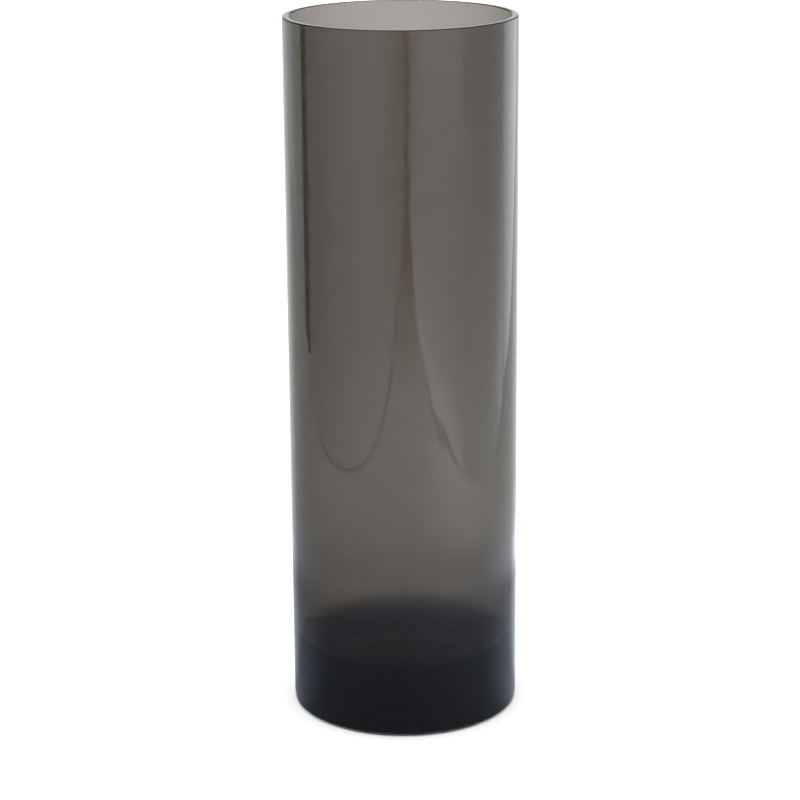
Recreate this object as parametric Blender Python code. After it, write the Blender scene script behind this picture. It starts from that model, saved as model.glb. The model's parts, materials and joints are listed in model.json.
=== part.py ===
"""Straight cylinder vase in smoked clear plastic: a tube, a dished base plug and the cement that bonds them.

Metres, +Z up. The origin is the centre of the foot, on the surface that the vase stands on.
Every piece is turned: its half profile lies in the XZ plane and is spun once round the Z axis.
"""

import math

import bmesh
import bpy
from mathutils import Vector

# Driving dimensions
HEIGHT = 0.300
OUTER_DIAMETER = 0.0975
WALL = 0.003
FLOOR_THICKNESS = 0.019  # of the plug, at its centre
DISH_RADIUS = 0.016  # of the hollow corner between the floor and the bore
FOOT_CHAMFER = 0.0014  # on the tube's lower outer edge
RIM_ROUND = 0.0006  # on both edges of the rim
PLUG_CHAMFER = 0.0005  # on the plug's lower edge
PLUG_LAND = 0.0004  # flat left on the plug's lip
CEMENT_FILM = 0.0003
CEMENT_SETBACK = 0.001  # the cement stops short of the foot
PART_GAP = 0.0003  # between pieces that touch

# Derived dimensions
OUTER_RADIUS = OUTER_DIAMETER / 2
BORE_RADIUS = OUTER_RADIUS - WALL
CEMENT_OUTER = BORE_RADIUS - PART_GAP
CEMENT_INNER = CEMENT_OUTER - CEMENT_FILM
PLUG_RADIUS = CEMENT_INNER - PART_GAP
FLOOR_RADIUS = BORE_RADIUS - DISH_RADIUS  # where the flat floor meets the dish
DISH_TOP = FLOOR_THICKNESS + DISH_RADIUS  # where the dish would meet the bore

# Facets
TURN_STEPS = 96
RIM_STEPS = 4
DISH_STEPS = 10
SHARP_ANGLE = math.radians(30)
WELD_DISTANCE = 1e-6

# Colours: linear RGB and alpha
SMOKE_WALL = (0.13, 0.12, 0.10, 0.60)
SMOKE_PLUG = (0.02, 0.02, 0.025, 0.90)
SMOKE_CEMENT = (0.10, 0.09, 0.08, 0.80)


def clear_scene():
    for old in list(bpy.data.objects):
        bpy.data.objects.remove(old)


def smoked_plastic(name, colour):
    material = bpy.data.materials.new(name)
    material.use_nodes = True
    shader = material.node_tree.nodes["Principled BSDF"]
    shader.inputs["Base Color"].default_value = colour
    shader.inputs["Alpha"].default_value = colour[3]
    shader.inputs["Roughness"].default_value = 0.05
    shader.inputs["Metallic"].default_value = 0.0
    material.diffuse_color = colour
    return material


def arc(centre_r, centre_z, radius, start_deg, end_deg, steps):
    """Points of an arc in the half plane, both ends included."""
    points = []
    for step in range(steps + 1):
        angle = math.radians(start_deg + (end_deg - start_deg) * step / steps)
        points.append((centre_r + radius * math.cos(angle), centre_z + radius * math.sin(angle)))
    return points


def dish_angle(radius):
    """Angle on the dish's arc, in degrees below the horizontal, at a distance from the axis."""
    return math.degrees(math.acos((radius - FLOOR_RADIUS) / DISH_RADIUS))


def turned(name, profile, closed, material):
    """Spins a half profile, which runs down its outer side, into one closed solid."""
    bm = bmesh.new()
    verts = [bm.verts.new((r, 0.0, z)) for r, z in profile]
    edges = [bm.edges.new(pair) for pair in zip(verts, verts[1:])]
    if closed:
        edges.append(bm.edges.new((verts[-1], verts[0])))
    bmesh.ops.spin(
        bm,
        geom=verts + edges,
        axis=Vector((0.0, 0.0, 1.0)),
        cent=Vector((0.0, 0.0, 0.0)),
        angle=math.tau,
        steps=TURN_STEPS,
        use_merge=True,
    )
    bmesh.ops.remove_doubles(bm, verts=bm.verts, dist=WELD_DISTANCE)
    bmesh.ops.recalc_face_normals(bm, faces=bm.faces)
    mesh = bpy.data.meshes.new(name)
    bm.to_mesh(mesh)
    bm.free()
    mesh.shade_smooth()
    mesh.set_sharp_from_angle(angle=SHARP_ANGLE)
    mesh.materials.append(material)
    piece = bpy.data.objects.new(name, mesh)
    bpy.context.scene.collection.objects.link(piece)
    return piece


def tube_wall():
    """Straight tube with an eased rim and a chamfered foot."""
    rim_z = HEIGHT - RIM_ROUND
    profile = arc(BORE_RADIUS + RIM_ROUND, rim_z, RIM_ROUND, 180, 90, RIM_STEPS)
    profile += arc(OUTER_RADIUS - RIM_ROUND, rim_z, RIM_ROUND, 90, 0, RIM_STEPS)
    profile += [
        (OUTER_RADIUS, FOOT_CHAMFER),
        (OUTER_RADIUS - FOOT_CHAMFER, 0.0),
        (BORE_RADIUS, 0.0),
    ]
    return turned("tube_wall", profile, True, smoked_plastic("smoked_wall", SMOKE_WALL))


def base_plug():
    """Solid disc that closes the tube; its top is a flat floor with a dished edge."""
    lip_radius = PLUG_RADIUS - PLUG_LAND
    dish = arc(FLOOR_RADIUS, DISH_TOP, DISH_RADIUS, -90, -dish_angle(lip_radius), DISH_STEPS)
    lip_z = dish[-1][1]
    profile = [(0.0, FLOOR_THICKNESS)] + dish
    profile += [
        (PLUG_RADIUS, lip_z),
        (PLUG_RADIUS, PLUG_CHAMFER),
        (PLUG_RADIUS - PLUG_CHAMFER, 0.0),
        (0.0, 0.0),
    ]
    return turned("base_plug", profile, False, smoked_plastic("smoked_plug", SMOKE_PLUG))


def cement_bond():
    """Cured cement round the plug; its top edge carries the dish on towards the bore."""
    feather = arc(FLOOR_RADIUS, DISH_TOP, DISH_RADIUS, -dish_angle(CEMENT_INNER), -dish_angle(CEMENT_OUTER), 2)
    profile = feather + [(CEMENT_OUTER, CEMENT_SETBACK), (CEMENT_INNER, CEMENT_SETBACK)]
    return turned("cement_bond", profile, True, smoked_plastic("cured_cement", SMOKE_CEMENT))


def build():
    clear_scene()
    assembly = bpy.data.objects.new("cylinder_vase", None)
    bpy.context.scene.collection.objects.link(assembly)
    for piece in (tube_wall(), base_plug(), cement_bond()):
        piece.parent = assembly


build()
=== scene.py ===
"""Looks for the smoked cylinder vase: its clear body, the floor, the studio light and the camera.

Metres, +Z up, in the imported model's own frame. The tube, the plug and the cement between them are bonded and
have the same refractive index, so light sees them as one body: they are shown as one closed mesh.
"""

import json
import math

import bmesh
import bpy
from mathutils import Matrix, Vector


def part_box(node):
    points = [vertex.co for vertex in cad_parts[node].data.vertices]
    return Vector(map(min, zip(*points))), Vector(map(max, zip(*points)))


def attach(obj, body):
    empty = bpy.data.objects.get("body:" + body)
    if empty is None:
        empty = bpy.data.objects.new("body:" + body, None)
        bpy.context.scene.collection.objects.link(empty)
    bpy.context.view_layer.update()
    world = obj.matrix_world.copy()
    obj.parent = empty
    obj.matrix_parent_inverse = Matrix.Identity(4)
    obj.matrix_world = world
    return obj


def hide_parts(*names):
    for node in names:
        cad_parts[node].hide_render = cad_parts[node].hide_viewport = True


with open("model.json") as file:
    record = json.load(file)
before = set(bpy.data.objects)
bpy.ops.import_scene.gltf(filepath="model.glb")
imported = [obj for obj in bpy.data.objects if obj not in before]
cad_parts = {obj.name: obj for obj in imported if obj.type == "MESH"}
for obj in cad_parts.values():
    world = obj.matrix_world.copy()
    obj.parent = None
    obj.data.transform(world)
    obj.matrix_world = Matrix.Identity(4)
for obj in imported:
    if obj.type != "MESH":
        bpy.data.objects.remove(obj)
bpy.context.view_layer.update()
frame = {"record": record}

# The vase, read from the frame
MOUNTS = {mount["name"]: mount["pos_m"] for mount in frame["record"]["mounts"]}
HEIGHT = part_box("tube_wall")[1].z
OUTER_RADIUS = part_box("tube_wall")[1].x
WALL = 2 * (OUTER_RADIUS - MOUNTS["rim"][0])
BORE_RADIUS = OUTER_RADIUS - WALL
FLOOR_Z = MOUNTS["floor"][2]

# Its small shapes
DISH_RADIUS = 0.016
FOOT_CHAMFER = 0.0014
CHAMFER_ANGLE = 45.0  # degrees
FOOT_EDGE = 0.0002  # rounding of the chamfer's two edges
RIM_ROUND = 0.0006
TURN_STEPS = 256
DISH_STEPS = 32
EDGE_STEPS = 5
RIM_STEPS = 10
SHARP_ANGLE = math.radians(40)
LONG_RUN = 0.002  # a straight run longer than this gets a ring close to each end, so that it shades straight
RING_INSET = 0.00015

# The plastic
PLASTIC_IOR = 1.585
ABSORPTION_PER_M = (456.0, 481.0, 521.0)  # red, green, blue
DENSITY_MARGIN = 1.25  # of the volume's density over the strongest absorption

# Its gloss: handling haze in patches of about 45 mm, and wiping marks about 1 mm wide, longer up the vase
CLEAN = 0.0  # roughness where the polish is untouched
HAZY = 0.014  # roughness where it has been handled
WIPED = 0.007  # roughness that a wiping mark adds
HAZE_SCALE = 22.0
HAZE_DETAIL = 3.0
HAZE_RANGE = (0.45, 0.75)  # of the noise, from clean to hazy
WIPE_SCALE = 900.0
WIPE_DETAIL = 2.0
WIPE_STRETCH = 0.06
WIPE_RANGE = (0.62, 0.70)

# Draw lines of the extruded tube, about 4 mm apart round the vase
DRAW_LINE_SCALE = 260.0
DRAW_LINE_DETAIL = 1.0
DRAW_LINE_STRETCH = 0.04
DRAW_LINE_DEPTH = 0.0000004
TUBE_RANGE = (0.036, 0.060)  # heights between which they fade in, above the dish

# The camera
CAMERA_DISTANCE = 1.011  # from the vase's axis
CAMERA_ABOVE_RIM = 0.133
CAMERA_PITCH = math.radians(16.415)
CAMERA_YAW = math.radians(0.076)
CAMERA_ROLL = math.radians(0.433)
CAMERA_LENS = 110.6  # mm
CAMERA_SENSOR = 36.0  # mm
MAX_BOUNCES = 24
GLOSSY_BOUNCES = 12

# The floor and the world
FLOOR_RADIUS = 2.12
FLOOR_STEPS = 256
FLOOR_ALBEDO = 0.82
WORLD_STRENGTH = 1.86
WALLS_GLOW = 1.15  # of the studio's walls, low over the table, seen only in the vase
ROOM_GLOW = 0.08  # of the dark room above them, seen only in the vase
BACKDROP = (0.86, 0.88, 0.935)  # colour of all that lies beyond the table, seen only in the vase
WALLS_TOP = math.radians(8.6)  # above the horizon
ROOM_START = math.radians(10.5)
HORIZON_BLUR = 0.005

# The table card, a disc with a hole, carries the table's glow as the vase mirrors it
CARD_START = 0.05
CARD_RADIUS = 8.0
CARD_RINGS = 90
CARD_STEPS = 120
CARD_LIFT = 0.0005
TABLE_TINT = (0.90, 1.0, 1.20)  # in the vase's own shade
SHADE_RADIUS = 0.16  # where the vase's shade begins to fade
SHADE_FADE = 0.16
RIGHT_LIFT = 0.4  # by how much the shade is brighter on the right

# Distance from the axis and glow of the table, in front of the vase and behind it on each side; the low glow
# close to the vase is painted shade, the vase's own
TABLE_FRONT = ((0.05, 0.20), (0.11, 0.24), (0.16, 0.31), (0.19, 0.42), (0.215, 0.62), (0.25, 0.60),
               (0.284, 0.86), (0.364, 1.05), (0.455, 1.06), (0.558, 1.08), (0.677, 0.68), (0.815, 0.36),
               (0.90, 0.10), (0.95, 0.0), (8.0, 0.0))
TABLE_REAR_LEFT = ((0.05, 0.31), (0.18, 0.33), (0.215, 0.58), (0.26, 0.64), (0.40, 0.70), (8.0, 0.72))
TABLE_REAR_RIGHT = ((0.05, 0.35), (0.175, 0.36), (0.215, 0.92), (0.26, 0.92), (0.40, 0.96), (8.0, 0.94))
SIDE_BLEND = 30.0  # degrees either side of straight behind, over which left turns into right

# Azimuth from straight in front, in degrees, where the front turns into the rear, and over how many degrees:
# each at the card's inner edge and from FRONT_NEAR metres outside it
FRONT_NEAR = 0.12
FRONT_END = (62.0, 75.0)
FRONT_FADE = (18.0, 30.0)

# Further round, the table glows brighter, painted light where it is lit from behind, out of the vase's shade:
# from which azimuth at each distance, and by how much on each side
EDGE_START = ((0.05, 96.0), (0.085, 107.0), (0.165, 122.0), (0.25, 132.0), (8.0, 132.0))
EDGE_FADE = 17.0
EDGE_LIFT_LEFT = ((0.05, 0.9), (0.20, 0.8), (0.25, 0.5), (0.36, 0.45), (8.0, 0.45))
EDGE_LIFT_RIGHT = ((0.05, 0.9), (0.20, 0.8), (0.25, 0.25), (0.36, 0.15), (8.0, 0.1))

# A painted pool of light on the table, in front on the right
PATCH_X = 0.31
PATCH_Y = -0.24
PATCH_WIDTH = 0.16
PATCH_LENGTH = 0.30
PATCH_GLOW = 0.90

# Diffusing sheets round the vase: x, y and glow along the foot of each
SHEET_TINT = (0.975, 1.0, 1.045)  # a little bluer than the floor's light
LEFT_SHEET = ((0.100, -1.950, 0.30), (0.033, -1.170, 0.38), (-0.025, -0.870, 0.34), (-0.083, -0.780, 0.42),
              (-0.129, -0.600, 0.58), (-0.184, -0.457, 0.76), (-0.277, -0.311, 0.78), (-0.365, -0.186, 0.66),
              (-0.446, -0.016, 0.46), (-0.494, 0.085, 0.40), (-0.520, 0.095, 0.38), (-0.625, 0.108, 0.36))
RIGHT_SHEET = ((0.230, -1.670, 0.45), (0.145, -1.100, 0.45), (0.168, -0.795, 0.70), (0.193, -0.660, 0.86),
               (0.232, -0.554, 0.98), (0.250, -0.498, 1.02), (0.256, -0.455, 1.05), (0.312, -0.375, 1.08),
               (0.319, -0.343, 1.08), (0.335, -0.207, 1.02))
RIGHT_WING = ((0.335, -0.207, 1.02), (0.353, -0.115, 1.00), (0.357, -0.034, 1.00), (0.360, 0.020, 1.00),
              (0.422, 0.102, 1.10), (0.445, 0.155, 1.22), (0.470, 0.202, 1.30))
RIGHT_PANEL = ((0.470, 0.202, 1.30), (0.498, 0.240, 1.50), (0.500, 0.300, 1.75), (0.500, 0.369, 1.92),
               (0.519, 0.463, 1.95), (0.553, 0.601, 1.92), (0.655, 0.880, 1.85), (0.817, 1.388, 1.80))
LEFT_PANEL = ((-0.555, 0.235, 0.70), (-0.575, 0.263, 0.70), (-0.668, 0.376, 0.72), (-0.900, 0.800, 0.92),
              (-0.900, 1.600, 1.00), (-0.600, 2.200, 1.00))
LEFT_SKIRT = ((-0.488, 0.127, 0.66), (-0.555, 0.235, 0.70))
LEFT_GAP = ((-0.622, 0.108, 0.0), (-0.595, 0.205, 0.0))

# Height up a sheet and the share of its glow there
LEFT_ROWS = ((0.0, 1.20), (0.004, 1.45), (0.03, 1.38), (0.06, 1.15), (0.10, 1.0), (0.16, 0.97), (0.21, 1.05),
             (0.25, 1.1), (0.6, 1.1))
RIGHT_ROWS = ((0.0, 1.70), (0.004, 1.90), (0.015, 1.85), (0.035, 1.42), (0.06, 1.17), (0.10, 1.0),
              (0.16, 0.97), (0.21, 1.05), (0.25, 1.1), (0.6, 1.1))
WING_ROWS = ((0.0, 1.40), (0.03, 1.45), (0.06, 1.27), (0.10, 1.10), (0.16, 0.90), (0.25, 0.78), (0.6, 0.78))
PANEL_ROWS = ((0.0, 1.0), (0.6, 1.0))
SKIRT_ROWS = ((0.0, 1.0), (0.04, 1.0))

# The sheets' own shade on the table along their feet: x, y, width and glow
LEFT_SHADE = ((-0.025, -0.870, 0.030, 0.30), (-0.083, -0.780, 0.050, 0.25), (-0.129, -0.600, 0.036, 0.48),
              (-0.184, -0.457, 0.018, 0.41), (-0.277, -0.311, 0.014, 0.70), (-0.365, -0.186, 0.013, 0.42),
              (-0.446, -0.016, 0.010, 0.35))
RIGHT_SHADE = ((0.168, -0.795, 0.020, 0.80), (0.193, -0.660, 0.050, 0.88), (0.232, -0.554, 0.045, 0.94),
               (0.250, -0.498, 0.050, 0.98), (0.256, -0.455, 0.035, 1.00), (0.312, -0.375, 0.060, 1.10),
               (0.319, -0.343, 0.030, 1.05), (0.335, -0.207, 0.006, 1.00))
SHADE_CORE = 0.55  # share of a shade's width before it fades


# Shapes


def arc(centre_r, centre_z, radius, start_deg, end_deg, steps):
    """Points of an arc in the half plane, both ends included."""
    points = []
    for step in range(steps + 1):
        angle = math.radians(start_deg + (end_deg - start_deg) * step / steps)
        points.append((centre_r + radius * math.cos(angle), centre_z + radius * math.sin(angle)))
    return points


def with_support_rings(profile):
    """Adds a point close to each end of every long straight run."""
    supported = [profile[0]]
    for start, end in zip(profile, profile[1:]):
        length = math.dist(start, end)
        if length > LONG_RUN:
            for part in (RING_INSET / length, 1 - RING_INSET / length):
                radius = start[0] + (end[0] - start[0]) * part
                z = start[1] + (end[1] - start[1]) * part
                supported.append((radius, z))
        supported.append(end)
    return supported


def body_profile():
    """Half section of the bonded vase, from the floor's centre over the rim and down to the foot's centre."""
    rim_z = HEIGHT - RIM_ROUND
    profile = [(0.0, FLOOR_Z)]
    profile += arc(BORE_RADIUS - DISH_RADIUS, FLOOR_Z + DISH_RADIUS, DISH_RADIUS, -90, 0, DISH_STEPS)
    profile += arc(BORE_RADIUS + RIM_ROUND, rim_z, RIM_ROUND, 180, 90, RIM_STEPS)
    profile += arc(OUTER_RADIUS - RIM_ROUND, rim_z, RIM_ROUND, 90, 0, RIM_STEPS)
    bend = FOOT_EDGE * math.tan(math.radians(CHAMFER_ANGLE / 2))
    chamfer_top = FOOT_CHAMFER + bend
    profile += arc(OUTER_RADIUS - FOOT_EDGE, chamfer_top, FOOT_EDGE, 0, -CHAMFER_ANGLE, EDGE_STEPS)
    profile += arc(OUTER_RADIUS - chamfer_top, FOOT_EDGE, FOOT_EDGE, -CHAMFER_ANGLE, -90, EDGE_STEPS)
    profile.append((0.0, 0.0))
    return with_support_rings(profile)


def ring_points(radius, z, steps):
    """Points of a level circle round the Z axis."""
    points = []
    for step in range(steps):
        angle = math.tau * step / steps
        points.append((radius * math.cos(angle), radius * math.sin(angle), z))
    return points


def turned_mesh(name, profile):
    """Turns a half section that starts and ends on the axis into one closed mesh."""
    bm = bmesh.new()
    rings = []
    for radius, z in profile:
        if radius == 0.0:
            rings.append([bm.verts.new((0.0, 0.0, z))] * TURN_STEPS)
        else:
            rings.append([bm.verts.new(point) for point in ring_points(radius, z, TURN_STEPS)])
    for upper, lower in zip(rings, rings[1:]):
        for step in range(TURN_STEPS):
            after = (step + 1) % TURN_STEPS
            corners = [upper[step], lower[step], lower[after], upper[after]]
            bm.faces.new(list(dict.fromkeys(corners)))  # next to the axis, two corners are one point
    bmesh.ops.recalc_face_normals(bm, faces=bm.faces)
    mesh = bpy.data.meshes.new(name)
    bm.to_mesh(mesh)
    bm.free()
    mesh.shade_smooth()
    mesh.set_sharp_from_angle(angle=SHARP_ANGLE)
    return mesh


def grid_faces(columns, rows):
    """Faces of an open grid whose points are listed column by column."""
    faces = []
    for column in range(columns - 1):
        for row in range(rows - 1):
            low = column * rows + row
            faces.append((low, low + rows, low + rows + 1, low + 1))
    return faces


def add_object(name, data):
    made = bpy.data.objects.new(name, data)
    bpy.context.scene.collection.objects.link(made)
    return made


# Values between stops


def ramp(value, stops):
    """Straight-line interpolation between (position, result) pairs."""
    if value <= stops[0][0]:
        return stops[0][1]
    for (low, before), (high, after) in zip(stops, stops[1:]):
        if value <= high:
            return before + (after - before) * (value - low) / (high - low)
    return stops[-1][1]


def blend(before, after, part):
    """Goes from one value to the other as part goes from 0 to 1, and no further."""
    part = min(max(part, 0.0), 1.0)
    return before + (after - before) * part


# Shader nodes


def math_node(tree, operation, first, second):
    node = tree.nodes.new("ShaderNodeMath")
    node.operation = operation
    tree.links.new(first, node.inputs[0])
    tree.links.new(second, node.inputs[1])
    return node.outputs["Value"]


def map_range(tree, value, limits, results, interpolation="LINEAR"):
    """Maps a value from its limits to two results, each a number or another node's output."""
    node = tree.nodes.new("ShaderNodeMapRange")
    node.interpolation_type = interpolation
    node.inputs["From Min"].default_value, node.inputs["From Max"].default_value = limits
    for name, result in zip(("To Min", "To Max"), results):
        if isinstance(result, bpy.types.NodeSocket):
            tree.links.new(result, node.inputs[name])
        else:
            node.inputs[name].default_value = result
    tree.links.new(value, node.inputs["Value"])
    return node.outputs["Result"]


def height_of(tree, vector):
    parts = tree.nodes.new("ShaderNodeSeparateXYZ")
    tree.links.new(vector, parts.inputs["Vector"])
    return parts.outputs["Z"]


def noise(tree, place, stretch, scale, detail):
    """A noise texture over the vase's own coordinates; a stretch below 1 draws it out along the vase."""
    mapping = tree.nodes.new("ShaderNodeMapping")
    mapping.inputs["Scale"].default_value = (1.0, 1.0, stretch)
    tree.links.new(place, mapping.inputs["Vector"])
    texture = tree.nodes.new("ShaderNodeTexNoise")
    texture.inputs["Scale"].default_value = scale
    texture.inputs["Detail"].default_value = detail
    tree.links.new(mapping.outputs["Vector"], texture.inputs["Vector"])
    return texture.outputs["Fac"]


# The vase


def add_handling(tree, place, shader):
    """Handling haze and fine wiping marks in the gloss."""
    patches = noise(tree, place, 1.0, HAZE_SCALE, HAZE_DETAIL)
    haze = map_range(tree, patches, HAZE_RANGE, (CLEAN, HAZY))
    marks = noise(tree, place, WIPE_STRETCH, WIPE_SCALE, WIPE_DETAIL)
    wiped = map_range(tree, marks, WIPE_RANGE, (0.0, WIPED))
    tree.links.new(math_node(tree, "ADD", haze, wiped), shader.inputs["Roughness"])


def add_draw_lines(tree, place, shader):
    """Faint draw lines on the tube, none on the base."""
    lines = noise(tree, place, DRAW_LINE_STRETCH, DRAW_LINE_SCALE, DRAW_LINE_DETAIL)
    on_tube = map_range(tree, height_of(tree, place), TUBE_RANGE, (0.0, 1.0))
    bump = tree.nodes.new("ShaderNodeBump")
    bump.inputs["Strength"].default_value = 1.0
    bump.inputs["Distance"].default_value = DRAW_LINE_DEPTH
    tree.links.new(math_node(tree, "MULTIPLY", lines, on_tube), bump.inputs["Height"])
    tree.links.new(bump.outputs["Normal"], shader.inputs["Normal"])


def add_tint(tree):
    """The smoke tint. In each colour the volume absorbs its density times one minus that colour."""
    tint = tree.nodes.new("ShaderNodeVolumeAbsorption")
    density = DENSITY_MARGIN * max(ABSORPTION_PER_M)
    tint.inputs["Density"].default_value = density
    tint.inputs["Color"].default_value = [1 - k / density for k in ABSORPTION_PER_M] + [1.0]
    tree.links.new(tint.outputs["Volume"], tree.nodes["Material Output"].inputs["Volume"])


def smoked_plastic():
    material = bpy.data.materials.new("smoked_clear_plastic")
    material.use_nodes = True
    tree = material.node_tree
    shader = tree.nodes["Principled BSDF"]
    shader.inputs["Base Color"].default_value = (1.0, 1.0, 1.0, 1.0)
    shader.inputs["IOR"].default_value = PLASTIC_IOR
    shader.inputs["Transmission Weight"].default_value = 1.0
    place = tree.nodes.new("ShaderNodeTexCoord").outputs["Object"]
    add_handling(tree, place, shader)
    add_draw_lines(tree, place, shader)
    add_tint(tree)
    return material


def make_vase():
    mesh = turned_mesh("vase_body", body_profile())
    mesh.materials.append(smoked_plastic())
    vase = add_object("vase_body", mesh)
    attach(vase, "root")
    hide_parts("tube_wall", "base_plug", "cement_bond")


# The floor


def floor_material():
    material = bpy.data.materials.new("pale_floor")
    material.use_nodes = True
    shader = material.node_tree.nodes["Principled BSDF"]
    shader.inputs["Base Color"].default_value = (FLOOR_ALBEDO, FLOOR_ALBEDO, FLOOR_ALBEDO, 1.0)
    shader.inputs["Roughness"].default_value = 1.0
    shader.inputs["Specular IOR Level"].default_value = 0.0
    return material


def make_floor():
    mesh = bpy.data.meshes.new("floor")
    mesh.from_pydata(ring_points(FLOOR_RADIUS, 0.0, FLOOR_STEPS), [], [tuple(range(FLOOR_STEPS))])
    mesh.materials.append(floor_material())
    add_object("floor", mesh)


# The studio


def glow_material():
    """Shines with the colour that each point of the mesh carries."""
    material = bpy.data.materials.new("studio_glow")
    material.use_nodes = True
    tree = material.node_tree
    tree.nodes.remove(tree.nodes["Principled BSDF"])
    carried = tree.nodes.new("ShaderNodeAttribute")
    carried.attribute_name = "glow"
    shine = tree.nodes.new("ShaderNodeEmission")
    tree.links.new(carried.outputs["Color"], shine.inputs["Color"])
    tree.links.new(shine.outputs["Emission"], tree.nodes["Material Output"].inputs["Surface"])
    return material


def reflected_card(name, points, faces, glows, material):
    """A studio card that only reflections see, so it neither lights the scene nor stands in the picture."""
    mesh = bpy.data.meshes.new(name)
    mesh.from_pydata(points, [], faces)
    carried = mesh.attributes.new("glow", "FLOAT_COLOR", "POINT")
    for point, glow in zip(carried.data, glows):
        point.color = (*glow, 1.0)
    mesh.materials.append(material)
    card = add_object(name, mesh)
    card.visible_camera = False
    card.visible_diffuse = False
    card.visible_transmission = False
    card.visible_shadow = False
    card.visible_volume_scatter = False


def level_glow(radius, azimuth):
    """The table's glow at a distance from the vase's axis and a signed azimuth from straight in front."""
    turn = abs(azimuth)
    rightness = 0.5 + math.copysign(blend(0.0, 0.5, (180 - turn) / SIDE_BLEND), azimuth)
    rear = blend(ramp(radius, TABLE_REAR_LEFT), ramp(radius, TABLE_REAR_RIGHT), rightness)
    far = (radius - CARD_START) / FRONT_NEAR
    round_the_side = (turn - blend(*FRONT_END, far)) / blend(*FRONT_FADE, far)
    glow = blend(ramp(radius, TABLE_FRONT), rear, round_the_side)
    # painted light: further round, the table is lit from behind and out of the vase's shade
    lift = blend(ramp(radius, EDGE_LIFT_LEFT), ramp(radius, EDGE_LIFT_RIGHT), rightness)
    return glow * (1 + lift * blend(0.0, 1.0, (turn - ramp(radius, EDGE_START)) / EDGE_FADE))


def table_glow(x, y):
    """What the table shows in the vase's reflections: dim and bluish close by, in the vase's own shade."""
    radius = math.hypot(x, y)
    azimuth = math.degrees(math.atan2(x, -y))
    near = blend(1.0, 0.0, (radius - SHADE_RADIUS) / SHADE_FADE)
    glow = level_glow(radius, azimuth)
    glow *= 1 + RIGHT_LIFT * near * math.sin(math.radians(min(max(azimuth, 0.0), 90.0)))
    # painted pool of light on the table, in front on the right, outside the vase's shade
    patch = math.exp(-((x - PATCH_X) / PATCH_WIDTH) ** 2 - ((y - PATCH_Y) / PATCH_LENGTH) ** 2)
    glow += PATCH_GLOW * patch * (1 - near)
    return [glow * blend(1.0, tint, near) for tint in TABLE_TINT]


def make_table_card(material):
    """The table round the vase, as rings of points that carry their glow."""
    points = []
    for ring in range(CARD_RINGS + 1):
        radius = CARD_START * (CARD_RADIUS / CARD_START) ** (ring / CARD_RINGS)
        points += ring_points(radius, CARD_LIFT, CARD_STEPS)
    glows = [table_glow(x, y) for x, y, z in points]
    faces = []
    for ring in range(CARD_RINGS):
        low = ring * CARD_STEPS
        high = low + CARD_STEPS
        for step in range(CARD_STEPS):
            after = (step + 1) % CARD_STEPS
            faces.append((low + step, low + after, high + after, high + step))
    reflected_card("table_card", points, faces, glows, material)


def make_sheet(name, foot, rows, material):
    """An upright diffusing sheet that stands on the line of its foot."""
    points = []
    glows = []
    for x, y, glow in foot:
        for height, share in rows:
            points.append((x, y, height))
            glows.append([glow * share * tint for tint in SHEET_TINT])
    reflected_card(name, points, grid_faces(len(foot), len(rows)), glows, material)


def make_shade(name, foot, side, material):
    """The shade of a sheet on the table along its foot, which fades into the table on the vase's side."""
    points = []
    glows = []
    parts = (0.0, SHADE_CORE, 1.0)
    for index, (x, y, width, glow) in enumerate(foot):
        before = foot[max(index - 1, 0)]
        after = foot[min(index + 1, len(foot) - 1)]
        along = Vector((after[0] - before[0], after[1] - before[1])).normalized()
        across = Vector((along.y, -along.x)) * side * width
        for part in parts:
            px = x + across.x * part
            py = y + across.y * part
            fade = (part - SHADE_CORE) / (1 - SHADE_CORE)
            points.append((px, py, 2 * CARD_LIFT))
            glows.append([blend(glow, table, fade) for table in table_glow(px, py)])
    reflected_card(name, points, grid_faces(len(foot), len(parts)), glows, material)


def make_cards():
    glow = glow_material()
    make_table_card(glow)
    make_sheet("left_sheet", LEFT_SHEET, LEFT_ROWS, glow)
    make_sheet("right_sheet", RIGHT_SHEET, RIGHT_ROWS, glow)
    make_shade("left_shade", LEFT_SHADE, 1, glow)
    make_shade("right_shade", RIGHT_SHADE, -1, glow)
    make_sheet("right_wing", RIGHT_WING, WING_ROWS, glow)
    make_sheet("right_panel", RIGHT_PANEL, PANEL_ROWS, glow)
    make_sheet("left_panel", LEFT_PANEL, PANEL_ROWS, glow)
    make_sheet("left_skirt", LEFT_SKIRT, SKIRT_ROWS, glow)
    make_sheet("left_gap", LEFT_GAP, PANEL_ROWS, glow)


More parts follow.
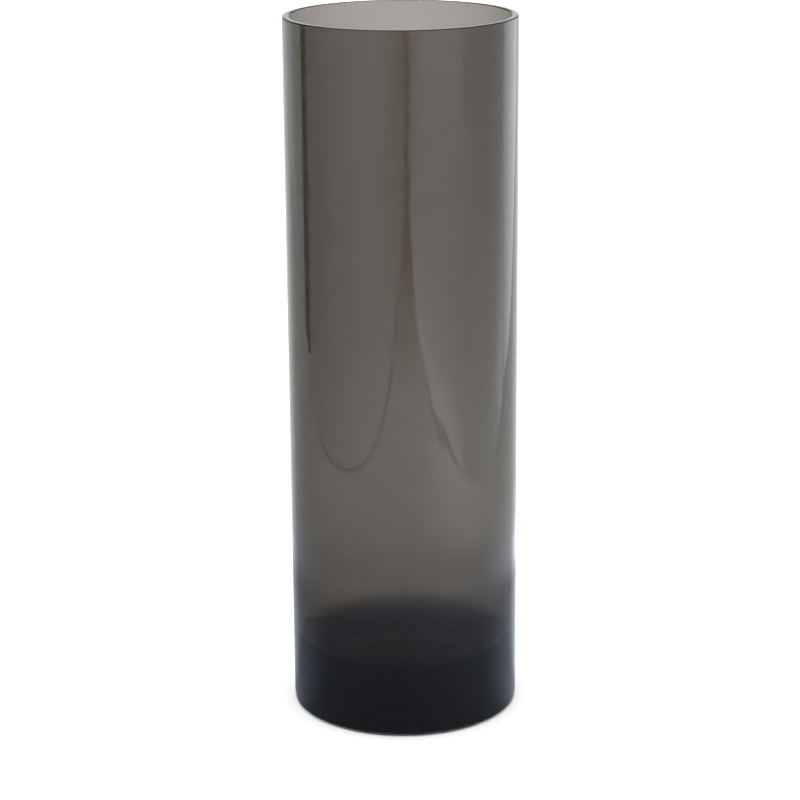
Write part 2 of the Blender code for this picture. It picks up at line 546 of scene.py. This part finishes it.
def make_world():
    """Even light on the table.

    Rays that have met the vase see a plain backdrop below the horizon, bright walls just above it and a dark
    room higher up.
    """
    world = bpy.data.worlds.new("studio")
    world.use_nodes = True
    tree = world.node_tree
    rays = tree.nodes.new("ShaderNodeLightPath")
    in_vase = math_node(tree, "MAXIMUM", rays.outputs["Is Glossy Ray"], rays.outputs["Is Transmission Ray"])
    height = height_of(tree, tree.nodes.new("ShaderNodeTexCoord").outputs["Generated"])
    walls = (math.sin(WALLS_TOP), math.sin(ROOM_START))
    above = map_range(tree, height, walls, (WALLS_GLOW, ROOM_GLOW), "SMOOTHSTEP")
    mirrored = map_range(tree, height, (-HORIZON_BLUR, HORIZON_BLUR), (WORLD_STRENGTH, above))
    strength = map_range(tree, in_vase, (0.0, 1.0), (WORLD_STRENGTH, mirrored))
    colour = tree.nodes.new("ShaderNodeMix")
    colour.data_type = "RGBA"
    colour.inputs["A"].default_value = (1.0, 1.0, 1.0, 1.0)
    colour.inputs["B"].default_value = (*BACKDROP, 1.0)
    tree.links.new(in_vase, colour.inputs["Factor"])
    background = tree.nodes["Background"]
    tree.links.new(colour.outputs["Result"], background.inputs["Color"])
    tree.links.new(strength, background.inputs["Strength"])
    bpy.context.scene.world = world


# The picture


def make_camera():
    data = bpy.data.cameras.new("camera")
    data.sensor_width = CAMERA_SENSOR
    data.lens = CAMERA_LENS
    camera = add_object("camera", data)
    place = Matrix.Translation((0.0, -CAMERA_DISTANCE, HEIGHT + CAMERA_ABOVE_RIM))
    yaw = Matrix.Rotation(CAMERA_YAW, 4, "Z")
    pitch = Matrix.Rotation(math.pi / 2 - CAMERA_PITCH, 4, "X")
    roll = Matrix.Rotation(-CAMERA_ROLL, 4, "Z")
    camera.matrix_world = place @ yaw @ pitch @ roll
    bpy.context.scene.camera = camera


def set_light_paths():
    """Enough bounces for light to cross both walls of the vase and the thick base."""
    scene = bpy.context.scene
    scene.view_settings.view_transform = "Standard"
    scene.cycles.use_denoising = True
    scene.cycles.max_bounces = MAX_BOUNCES
    scene.cycles.transmission_bounces = MAX_BOUNCES
    scene.cycles.glossy_bounces = GLOSSY_BOUNCES


make_camera()
make_vase()
make_floor()
make_world()
make_cards()
set_light_paths()
